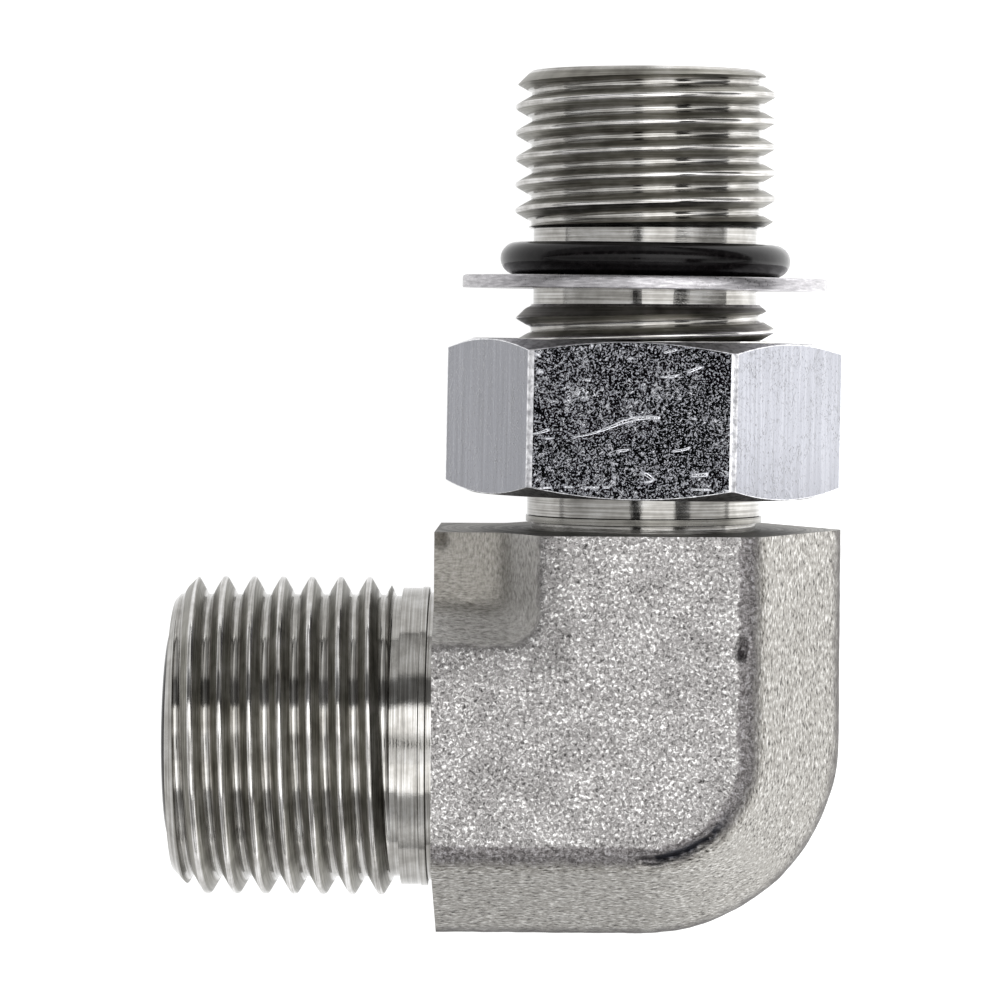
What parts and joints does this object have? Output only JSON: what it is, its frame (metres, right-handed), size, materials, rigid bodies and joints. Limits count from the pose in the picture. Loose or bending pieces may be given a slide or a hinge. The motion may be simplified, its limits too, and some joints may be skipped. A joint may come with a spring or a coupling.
{
  "type": "hydraulic elbow adapter",
  "caption": "Right-angle hydraulic adapter with a threaded face-seal end and an adjustable threaded port end that carries a hex lock nut, a backup washer and a seal ring.",
  "frame": {"origin": "where the axes of the two flow bores cross", "axes": "+Y along the port stud towards its free end, -X along the face-seal stub towards its free end, +Z out of the front wrench pad; the part lies on its back"},
  "size_m": [0.0368, 0.0473, 0.02],
  "materials": {
    "forged_steel": "zinc-plated, forged grain on the body and turned on the stubs",
    "nut_steel": "bright zinc-plated, smooth drawn flats",
    "washer_steel": "zinc-plated, punched edge",
    "seal_rubber": "black, softly shiny"
  },
  "bodies": {
    "elbow": {"elbow_body": "forged_steel", "backup_washer": "washer_steel", "boss_o_ring": "seal_rubber", "face_seal_o_ring": "seal_rubber"},
    "nut": {"lock_nut": "nut_steel"}
  },
  "joints": [
    {"name": "lock_nut_turn", "type": "hinge", "parent": "elbow", "child": "nut", "pos_m": [0, 0.0176, 0], "axis": [0, 1, 0], "range_deg": [-470, 645]}
  ]
}
